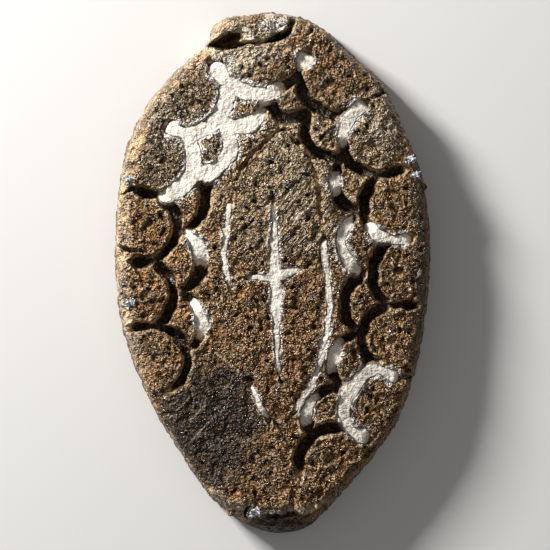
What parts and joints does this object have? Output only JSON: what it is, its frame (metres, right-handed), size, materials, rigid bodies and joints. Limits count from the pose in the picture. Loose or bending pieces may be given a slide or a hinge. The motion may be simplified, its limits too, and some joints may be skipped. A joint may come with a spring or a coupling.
{
  "type": "seal matrix",
  "caption": "Pointed-oval cast lead seal matrix, its face cut with a star in a pointed field and a border of overlapping scales, with chalky white in the cuts and a worn suspension lug.",
  "frame": {"origin": "in the plane of the flat back, under the centre of the bounding box", "axes": "+Z out of the cut face, +Y along the long axis towards the suspension lug, +X to the right as the cut face is looked at"},
  "size_m": [0.0242, 0.04, 0.0045],
  "materials": {
    "lead_patina": "cast lead under a gritty brown patina, paler on worn edges and darker in the cuts",
    "white_chalk": "dead matt chalky white powder, packed into the cuts",
    "soil": "matt brown soil",
    "crystal": "pale bluish-white crystalline crust with a slight gloss"
  },
  "bodies": {
    "root": {"matrix_plate": "lead_patina", "suspension_lug": "lead_patina", "soil_plug_in_eye": "soil", "white_fill_star": "white_chalk", "white_fill_upper_left": "white_chalk", "white_fill_left_scale": "white_chalk", "white_fill_left_foot_scale": "white_chalk", "white_fill_head_dart": "white_chalk", "white_fill_upper_right_dart": "white_chalk", "white_fill_upper_right_scale": "white_chalk", "white_fill_right_dart": "white_chalk", "white_fill_right_scale": "white_chalk", "white_fill_lower_right_scale": "white_chalk", "white_fill_lower_right_dart": "white_chalk", "white_fill_foot_scale": "white_chalk", "white_fill_field_left": "white_chalk", "white_fill_field_foot_left": "white_chalk", "white_fill_field_right": "white_chalk", "soil_grain_right_rim": "soil", "crystal_right_rim_upper": "crystal", "crystal_right_rim_lower": "crystal", "crystal_left_rim_upper": "crystal", "crystal_left_rim_lower": "crystal", "crystal_foot": "crystal"}
  },
  "joints": []
}
